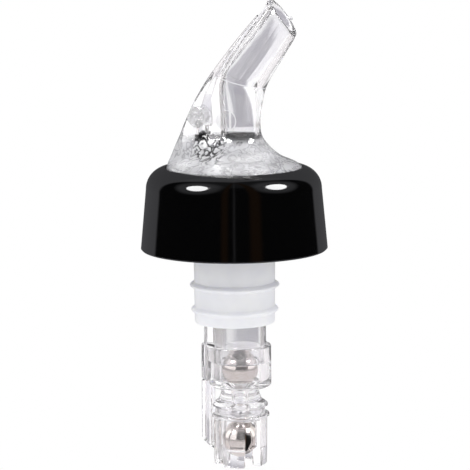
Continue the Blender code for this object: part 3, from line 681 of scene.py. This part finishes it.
class Graph:
    """Adds shader nodes to a tree and joins them."""

    def __init__(self, tree):
        self.tree = tree
        tree.nodes.clear()

    def add(self, kind, inputs=None, **settings):
        node = self.tree.nodes.new(kind)
        for name, value in settings.items():
            setattr(node, name, value)
        for name, value in (inputs or {}).items():
            if isinstance(value, bpy.types.NodeSocket):
                self.tree.links.new(value, node.inputs[name])
            else:
                node.inputs[name].default_value = value
        return node

    def maths(self, operation, a, b=0.0):
        return self.add("ShaderNodeMath", {0: a, 1: b}, operation=operation).outputs[0]

    def times(self, a, b):
        return self.maths("MULTIPLY", a, b)

    def off(self, value, centre):
        """Distance of a value from a centre."""
        return self.maths("ABSOLUTE", self.maths("SUBTRACT", value, centre))

    def spread(self, value, low, high, to_low=0.0, to_high=1.0):
        """Smoothly map low..high to to_low..to_high."""
        return self.add("ShaderNodeMapRange", {"Value": value, "From Min": low, "From Max": high,
                                               "To Min": to_low, "To Max": to_high},
                        interpolation_type="SMOOTHSTEP").outputs["Result"]

    def fade(self, value, low, high):
        """Smoothly fall from 1 at low to 0 at high."""
        return self.spread(value, low, high, 1.0, 0.0)

    def window(self, value, low, high, soft):
        """1 between low and high, falling to 0 over twice `soft` at each end."""
        rise = self.spread(value, low - soft, low + soft)
        return self.times(rise, self.fade(value, high - soft, high + soft))

    def blend(self, share, a, b):
        """Colour a where share is 0 and b where it is 1."""
        node = self.add("ShaderNodeMix", data_type="RGBA")
        for name, value in ((0, share), (6, a), (7, b)):
            if isinstance(value, bpy.types.NodeSocket):
                self.tree.links.new(value, node.inputs[name])
            else:
                node.inputs[name].default_value = value
        return node.outputs[2]

    def noise(self, place, scale, detail=4.0, roughness=0.55, distortion=0.0):
        node = self.add("ShaderNodeTexNoise", {"Vector": place, "Scale": scale, "Detail": detail,
                                               "Roughness": roughness, "Distortion": distortion})
        return node.outputs["Fac"]

    def place(self):
        return self.add("ShaderNodeTexCoord").outputs["Object"]

    def bump(self, height, strength, distance):
        return self.add("ShaderNodeBump", {"Height": height, "Strength": strength,
                                           "Distance": distance}).outputs["Normal"]

    def surface(self, shader):
        kind = "World" if shader.name.startswith("Background") else "Material"
        self.add(f"ShaderNodeOutput{kind}", {"Surface": shader.outputs[0]})


def new_material(name):
    mat = bpy.data.materials.new(name)
    mat.use_nodes = True
    return mat, Graph(mat.node_tree)


def grey(value):
    return (value, value, value, 1.0)


# The spout's marks and painted shade, in metres. Pairs are where a mark starts or ends fading, and the
# zones are (low, high, softness of the ends).
MARK_WALL = (0.0042, 0.0045)             # distance from the bore's axis: marks lie outside it
MARK_SIDE = (0.0, 0.001)                 # Y: marks lie on the left side only
MARK_FROST = 0.75
LINE_HALF = (0.00004, 0.00015)
LINE_START_X = (-0.0038, -0.0028)
RING_HALF = (0.00004, 0.00014)
RING_START_X = (-0.0016, 0.0)
FOLD_ZONE_Z = (0.0070, 0.0118, 0.0008)
FOLD_ZONE_X = (-0.0085, -0.0010, 0.0012)
FOLD_HALF = 0.16                         # in the noise's own units
FOLD_HEIGHT = 0.0003
CREASE = (0.4, 0.7)                      # share of a fold's height that gets painted shade, standing in for dark refraction
FLAKE_ZONE_Z = (0.0045, 0.0115, 0.0010)
FLAKE_FOLD = (0.02, 0.10)
FLAKE_FROST = (0.28, 0.52)
SCUFF_HEIGHT = 0.0012
TURNED_TOP_Z = (0.0052, 0.0060)
TURNED_HEIGHT = 0.000012
# Zones of painted shade on the bore's floor and on the air well's floor.
BORE_FLOOR_Z = (0.0096, 0.0121, 0.0003)
BORE_FLOOR_R = (0.0040, 0.0044)
WELL_FLOOR_Z = (0.0110, 0.0126, 0.0002)
WELL_FLOOR_HALF = (0.0016, 0.0019)


def spout_details(g, place):
    """The spout's moulding marks and painted shade: height in metres, share of frosting, and share of
    painted shade.
    """
    x, y, z = g.add("ShaderNodeSeparateXYZ", {0: place}).outputs

    def distance(a, b):
        return g.maths("SQRT", g.maths("ADD", g.maths("POWER", a, 2.0), g.maths("POWER", b, 2.0)))

    def gap_to(centre_x, centre_z):
        return distance(g.maths("SUBTRACT", x, centre_x), g.maths("SUBTRACT", z, centre_z))

    radius = distance(g.maths("SUBTRACT", x, COLUMN_X * MM), y)
    outside = g.times(g.spread(radius, *MARK_WALL), g.fade(y, *MARK_SIDE))

    # Weld line where the snout leaves the column, and the ring left by the ejector pin.
    across = g.maths("ADD", g.times(x, MITRE_LINE[0]), g.times(z, MITRE_LINE[1]))
    line = g.times(g.fade(g.off(across, MITRE_LINE[2]), *LINE_HALF), g.spread(x, *LINE_START_X))
    ring = g.fade(g.off(gap_to(PAD.x * MM, PAD.z * MM), PAD_R * MM), *RING_HALF)
    ring = g.times(ring, g.spread(x, *RING_START_X))
    frost = g.times(g.maths("ADD", line, ring), g.times(outside, MARK_FROST))

    # Wrinkles where the melt folded, in the base and behind the column, as bumps; their creases also get
    # painted shade below.
    zone = g.times(g.window(z, *FOLD_ZONE_Z), g.window(x, *FOLD_ZONE_X))
    fold = g.off(g.noise(place, 360.0, 1.0, 0.5, 1.5), 0.5)
    wrinkle = g.maths("POWER", g.fade(fold, 0.0, FOLD_HALF), 2.0)
    height = g.times(g.times(wrinkle, zone), FOLD_HEIGHT)
    flakes = g.times(g.spread(fold, *FLAKE_FOLD, *FLAKE_FROST), g.window(z, *FLAKE_ZONE_Z))
    frost = g.maths("MAXIMUM", frost, flakes)

    # A scuffed patch, and rings left by turning the mould round the stem's socket.
    scuff = g.fade(gap_to(SCUFF[0], SCUFF[1]), SCUFF[2], 2 * SCUFF[2])
    scuff = g.times(scuff, g.noise(place, 1700.0, 2.0, 0.7))
    height = g.maths("ADD", height, g.times(scuff, SCUFF_HEIGHT))
    rings = g.maths("SINE", g.times(radius, math.tau / RING_PITCH))
    rings = g.times(rings, g.spread(z, *TURNED_TOP_Z, TURNED_HEIGHT, 0.0))
    height = g.maths("ADD", height, rings)

    # Painted shade: the colour of the thick floors of the bore and of the air well is darkened, standing
    # in for the black collar's reflection in them.
    bore_floor_shade = g.times(g.window(z, *BORE_FLOOR_Z), g.fade(radius, *BORE_FLOOR_R))
    well_off = g.off(x, AIR_WELL[0] * MM)
    well_floor_shade = g.times(g.window(z, *WELL_FLOOR_Z), g.fade(well_off, *WELL_FLOOR_HALF))
    # Painted shade in the creases of the folds, standing in for the dark refraction seen there.
    crease_shade = g.times(g.spread(wrinkle, *CREASE), zone)
    shade = g.maths("MAXIMUM", g.maths("MAXIMUM", bore_floor_shade, well_floor_shade), crease_shade)
    return height, frost, shade


SPOUT_TINT = (0.925, 0.922, 0.94)
SPOUT_FINISH = {"roughness": 0.0, "waviness": 0.00003, "veil": 0.02, "gloss": 0.2}
VALVE_TINT = (0.97, 0.965, 0.985)
VALVE_FINISH = {"roughness": 0.015, "waviness": 0.00003, "veil": 0.06, "gloss": 0.2}
CLEAR_IOR = 1.5
CLEAR_LIGHT = 0.985            # grey that the tint wanders towards
HAZE_ROUGHNESS = 0.035         # added to the roughness where the surface has been handled
# Near-black grey that the painted shade darkens the spout's colour towards.
PAINTED_SHADE = 0.02


def clear_plastic(name, tint, roughness, waviness, veil, gloss, details=None):
    """Moulded clear plastic: slightly uneven tint, flow waviness, and faint handling haze."""
    mat, g = new_material(name)
    place = g.place()
    flow = g.noise(place, 260.0, 2.0, 0.4)
    haze = g.noise(place, 900.0, 5.0, 0.6)
    colour = g.blend(g.spread(flow, 0.3, 0.7), (*tint, 1.0), grey(CLEAR_LIGHT))
    rough = g.spread(haze, 0.45, 0.8, roughness, roughness + HAZE_ROUGHNESS)
    height = g.times(flow, waviness)
    clear = 1.0 - veil
    if details:
        relief, frost, shade = details(g, place)
        height = g.maths("ADD", height, relief)
        # Painted shade: the colour is darkened towards a near-black grey where the details return shade.
        colour = g.blend(shade, colour, grey(PAINTED_SHADE))
        clear = g.maths("SUBTRACT", clear, frost)
    normal = g.bump(height, 1.0, 1.0)
    g.surface(g.add("ShaderNodeBsdfPrincipled", {
        "Base Color": colour, "Roughness": rough, "IOR": CLEAR_IOR, "Transmission Weight": clear,
        "Specular IOR Level": gloss, "Normal": normal}))
    return mat


BLACK = (0.0012, 0.0012, 0.0013, 1.0)
BLACK_DUST = (0.006, 0.0055, 0.0055, 1.0)
BLACK_IOR = 1.46
BLACK_ROUGHNESS = (0.05, 0.11)


def black_plastic():
    """Glossy black plastic with faint moulding ripple, fine dust specks and uneven gloss."""
    mat, g = new_material("black_gloss")
    place = g.place()
    ripple = g.noise(place, 120.0, 2.0, 0.4)
    dust = g.spread(g.noise(place, 2600.0, 2.0, 0.5), 0.74, 0.82)
    colour = g.blend(dust, BLACK, BLACK_DUST)
    rough = g.spread(g.noise(place, 500.0, 4.0, 0.6), 0.35, 0.75, *BLACK_ROUGHNESS)
    g.surface(g.add("ShaderNodeBsdfPrincipled", {
        "Base Color": colour, "Roughness": rough, "IOR": BLACK_IOR,
        "Normal": g.bump(ripple, 1.0, 0.00002)}))
    return mat


MILKY_DARK = (0.86, 0.865, 0.895, 1.0)
MILKY_LIGHT = (0.91, 0.915, 0.935, 1.0)
MILKY_IOR = 1.43
MILKY_ROUGHNESS = (0.34, 0.46)
MILKY_SCATTER = 0.7
MILKY_DEPTH = (0.0030, 0.0030, 0.0034)


def milky_plastic():
    """Soft milky plastic: scatters light inside, with a slightly cloudy, satin surface."""
    mat, g = new_material("milky_soft")
    place = g.place()
    cloud = g.noise(place, 160.0, 4.0, 0.5)
    fine = g.noise(place, 1500.0, 4.0, 0.6)
    colour = g.blend(g.spread(cloud, 0.3, 0.7), MILKY_DARK, MILKY_LIGHT)
    rough = g.spread(fine, 0.3, 0.7, *MILKY_ROUGHNESS)
    g.surface(g.add("ShaderNodeBsdfPrincipled", {
        "Base Color": colour, "Roughness": rough, "IOR": MILKY_IOR, "Subsurface Weight": MILKY_SCATTER,
        "Subsurface Radius": MILKY_DEPTH, "Subsurface Scale": 1.0,
        "Normal": g.bump(fine, 0.5, 0.00003)}))
    return mat


STEEL_DARK = (0.62, 0.57, 0.54, 1.0)
STEEL_LIGHT = (0.70, 0.65, 0.62, 1.0)
STEEL_ROUGHNESS = (0.07, 0.16)


def steel(name):
    """Ball steel: polished, with fine wandering scratches and faint clouding."""
    mat, g = new_material(name)
    place = g.place()
    scratch = g.noise(place, 2200.0, 3.0, 0.6, 1.2)
    cloud = g.noise(place, 420.0, 4.0, 0.6)
    colour = g.blend(g.spread(cloud, 0.3, 0.7), STEEL_DARK, STEEL_LIGHT)
    rough = g.spread(scratch, 0.35, 0.7, *STEEL_ROUGHNESS)
    g.surface(g.add("ShaderNodeBsdfPrincipled", {
        "Base Color": colour, "Roughness": rough, "Metallic": 1.0,
        "Normal": g.bump(scratch, 0.35, 0.00001)}))
    return mat


# ---------------------------------------------------------------- studio

def heading(azimuth_deg, elevation_deg):
    """Unit vector from the object, azimuth 0 being -Y and 90 being +X."""
    a, e = math.radians(azimuth_deg), math.radians(elevation_deg)
    return Vector((math.sin(a) * math.cos(e), -math.cos(a) * math.cos(e), math.sin(e)))


def make_camera():
    toward = heading(CAMERA_AZIMUTH, CAMERA_ELEVATION)
    right = Vector((0.0, 0.0, 1.0)).cross(toward).normalized()
    up = toward.cross(right)
    roll = math.radians(CAMERA_ROLL)
    turned_right = right * math.cos(roll) - up * math.sin(roll)
    turned_up = up * math.cos(roll) + right * math.sin(roll)
    data = bpy.data.cameras.new("camera")
    data.sensor_width = SENSOR_WIDTH
    data.lens = SENSOR_WIDTH * CAMERA_DISTANCE / VIEW_WIDTH
    data.clip_start = 0.01
    camera = bpy.data.objects.new("camera", data)
    bpy.context.scene.collection.objects.link(camera)
    target = right * VIEW_SIDEWAYS + Vector((0.0, 0.0, VIEW_HEIGHT))
    turn = Matrix((turned_right, turned_up, toward)).transposed().to_4x4()
    camera.matrix_world = Matrix.Translation(target + toward * CAMERA_DISTANCE) @ turn
    bpy.context.scene.camera = camera


def softbox(name, azimuth):
    data = bpy.data.lights.new(name, "AREA")
    data.shape = "DISK"
    data.size = SOFTBOX_SIZE
    data.energy = SOFTBOX_POWER
    lamp = bpy.data.objects.new(name, data)
    bpy.context.scene.collection.objects.link(lamp)
    away = heading(CAMERA_AZIMUTH + azimuth, SOFTBOX_ELEVATION)
    lamp.location = away * SOFTBOX_DISTANCE
    lamp.rotation_euler = away.to_track_quat("Z", "Y").to_euler()
    lamp.visible_camera = False
    lamp.visible_diffuse = False
    return lamp


# What the studio shows. Bands are (from, to, softness) in degrees round the part, starting straight
# behind it, positive towards its right side; heights are the Z of a direction.
FRONT_BANDS = ((55.0, 180.1, 3.0), (-180.1, -66.0, 3.0))
SHEET_FRONT = (-0.36, -1.0)              # how far behind the part the side sheets fade to a dim back
SHEET_LIGHT = (0.55, 0.07)
TOP_GLOW_UP = (0.75, 0.9)
TOP_GLOW = 0.12
ROOM_GLOW = 0.012
HALO_DEG = (33.0, 19.0)                  # glow round each softbox: outer and inner reach
HALO = 0.5
OUTER_WHITE = (0.98, 0.98, 1.04, 1.0)
STRIP_BANDS = ((146.0, 160.0, 4.0), (-172.0, -164.0, 3.0))
STRIP = (0.13, 0.065, 0.025, 1.0)
LOW_UP = (-0.16, -0.20)                  # where the sweep turns into the ground
SWEEP = (0.50, 0.49, 0.53, 1.0)
SWEEP_LOW = (1.0, 0.99, 1.02, 1.0)
LEFT_CARD = ((-32.0, -14.0, 5.0), 0.95)
RIGHT_CARD = ((14.0, 86.0, 4.0), 1.3)
TOP_CARD = ((0.30, 0.55), 1.3)
FLAG_BAND = (-100.0, -34.0, 2.0)
FLAG_UP = (0.02, 0.12)
FLAG = 0.03
DARK_LEFT_DEG = (-30.0, -22.0)            # measured from straight in front
DARK_RIGHT_DEG = (42.0, 50.0)
DARK_GAP = (0.04, 0.034, 0.03, 1.0)
ROOM_LIGHT = 1.9
CEILING_UP = (0.72, 0.86)
CEILING = (0.42, 0.38, 0.36, 1.0)
BACK_FRONT = (-0.35, -0.2)
BACK_LIGHT = 1.1
GROUND_NEAR = (0.58, 0.56, 0.56, 1.0)
GROUND_LOW = (1.05, 1.02, 1.03, 1.0)
HORIZON_UP = (0.04, -0.04)
MATTE_UP = (-0.2, 0.2)
MATTE_LOW = (1.25, 1.25, 1.29, 1.0)
MATTE_HIGH = (0.94, 0.94, 0.97, 1.0)
DEPTH_STEP = (0.2, 0.8)                  # turns a bounce count into none or some


def studio_world():
    """White backdrop for the camera; grey sweep, bright cards and a dark room for the part to show."""
    world = bpy.data.worlds.new("studio")
    bpy.context.scene.world = world
    world.use_nodes = True
    g = Graph(world.node_tree)
    direction = g.add("ShaderNodeTexCoord").outputs["Generated"]
    path = g.add("ShaderNodeLightPath").outputs

    def toward(way):
        node = g.add("ShaderNodeVectorMath", {0: direction, 1: way}, operation="DOT_PRODUCT")
        return node.outputs["Value"]

    def degrees_round(side, ahead):
        return g.times(g.maths("ARCTAN2", side, ahead), 180.0 / math.pi)

    front = toward(heading(CAMERA_AZIMUTH, 0.0))
    right = toward(heading(CAMERA_AZIMUTH + 90.0, 0.0))
    up = g.add("ShaderNodeSeparateXYZ", {0: direction}).outputs["Z"]
    turn = degrees_round(right, g.times(front, -1.0))

    def bands(pair):
        return g.maths("ADD", *(g.window(turn, *band) for band in pair))

    # Reflected by outer surfaces: dark in front, sheets at the sides fading to a dim back,
    # a soft glow round each softbox and two faint warm strips.
    sheets = g.maths("SUBTRACT", 1.0, g.maths("MINIMUM", bands(FRONT_BANDS), 1.0))
    dimming = g.add("ShaderNodeMapRange", {
        "Value": front, "From Min": SHEET_FRONT[0], "From Max": SHEET_FRONT[1],
        "To Min": SHEET_LIGHT[0], "To Max": SHEET_LIGHT[1]})
    outer = g.times(sheets, dimming.outputs["Result"])
    outer = g.maths("ADD", outer, g.times(g.spread(up, *TOP_GLOW_UP), TOP_GLOW))
    outer = g.maths("ADD", outer, ROOM_GLOW)
    halos = []
    for side_azimuth in SOFTBOX_AZIMUTHS:
        near = toward(heading(CAMERA_AZIMUTH + side_azimuth, SOFTBOX_ELEVATION))
        halos.append(g.spread(near, *(math.cos(math.radians(reach)) for reach in HALO_DEG)))
    outer = g.maths("ADD", outer, g.times(g.maths("ADD", *halos), HALO))
    outer_colour = g.blend(outer, grey(0.0), OUTER_WHITE)
    outer_colour = g.blend(bands(STRIP_BANDS), outer_colour, STRIP)

    # Seen through clear plastic: a lavender-grey sweep, a white card on the right, a pale one on
    # the left and black beyond it.
    through = g.blend(g.spread(up, *LOW_UP), SWEEP, SWEEP_LOW)
    for band, light in (LEFT_CARD, RIGHT_CARD):
        through = g.blend(g.window(turn, *band), through, grey(light))
    through = g.blend(g.spread(up, *TOP_CARD[0]), through, grey(TOP_CARD[1]))
    flag = g.times(g.window(turn, *FLAG_BAND), g.spread(up, *FLAG_UP))
    through = g.blend(flag, through, grey(FLAG))

    # Seen after a bounce inside: white behind, a pale warm ground, large softboxes left and right
    # of a dark gap in front, and a dim ceiling.
    around = degrees_round(right, front)
    gap_dark = g.times(g.spread(around, *DARK_LEFT_DEG), g.fade(around, *DARK_RIGHT_DEG))
    room_colour = g.blend(gap_dark, grey(ROOM_LIGHT), DARK_GAP)
    room_colour = g.blend(g.spread(up, *CEILING_UP), room_colour, CEILING)
    inner = g.blend(g.spread(front, *BACK_FRONT), grey(BACK_LIGHT), room_colour)
    ground = g.blend(g.spread(up, *LOW_UP), GROUND_NEAR, GROUND_LOW)
    inner = g.blend(g.spread(up, *HORIZON_UP), inner, ground)

    bounced = g.spread(path["Glossy Depth"], *DEPTH_STEP)
    entered = g.spread(path["Transmission Depth"], *DEPTH_STEP)
    around_matte = g.blend(g.spread(up, *MATTE_UP), MATTE_LOW, MATTE_HIGH)
    colour = g.blend(path["Is Glossy Ray"], around_matte, outer_colour)
    colour = g.blend(entered, colour, g.blend(bounced, through, inner))
    colour = g.blend(path["Is Camera Ray"], colour, grey(1.0))
    g.surface(g.add("ShaderNodeBackground", {"Color": colour, "Strength": 1.0}))


def make_floor():
    """Plain pale floor, well below the part, that shows pure white to the camera."""
    bm = bmesh.new()
    bmesh.ops.create_circle(bm, cap_ends=True, segments=96, radius=FLOOR_R,
                            matrix=Matrix.Translation((0.0, 0.0, FLOOR_Z)))
    mesh = bpy.data.meshes.new("floor")
    bm.to_mesh(mesh)
    bm.free()
    floor = bpy.data.objects.new("floor", mesh)
    bpy.context.scene.collection.objects.link(floor)
    mat, g = new_material("pale_floor")
    g.surface(g.add("ShaderNodeEmission", {"Color": grey(1.0), "Strength": 1.0}))
    mesh.materials.append(mat)
    floor.visible_diffuse = False
    floor.visible_glossy = False
    floor.visible_transmission = False


def render_look():
    scene = bpy.context.scene
    scene.view_settings.view_transform = "Standard"
    scene.cycles.max_bounces = 32
    scene.cycles.glossy_bounces = 24
    scene.cycles.transmission_bounces = 32


def build():
    spout_plastic = clear_plastic("spout_clear", SPOUT_TINT, details=spout_details, **SPOUT_FINISH)
    lower_plastic = clear_plastic("valve_clear", VALVE_TINT, **VALVE_FINISH)
    made = (
        (pour_spout(), "pour_spout", "pourer", "clear_spout", spout_plastic),
        (collar(), "collar", "pourer", "black_collar", black_plastic()),
        (stopper_sleeve(), "stopper_sleeve", "pourer", "milky_sleeve", milky_plastic()),
        (valve_stem(), "valve_stem", "pourer", "clear_stem", lower_plastic),
        (timing_chamber(), "timing_chamber", "pourer", "clear_chamber", lower_plastic),
        (air_tube(), "air_tube", "pourer", "clear_air_tube", lower_plastic),
        (ball_cage(), "ball_cage", "pourer", "clear_cage", lower_plastic),
        (valve_ball("timing_ball_polished", TIMING_BALL_Z), "timing_ball", "timing_ball",
         "timing_ball_steel", steel("timing_steel")),
        (valve_ball("check_ball_polished", CHECK_BALL_Z), "check_ball", "check_ball",
         "check_ball_steel", steel("check_steel")),
    )
    for thing, node, body, slot, finish in made:
        thing.data.materials.clear()
        thing.data.materials.append(finish)
        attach(thing, body)
        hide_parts(node)


make_camera()
make_floor()
studio_world()
for side_name, side_azimuth in zip(("left", "right"), SOFTBOX_AZIMUTHS):
    softbox(f"softbox_{side_name}", side_azimuth)
render_look()
build()
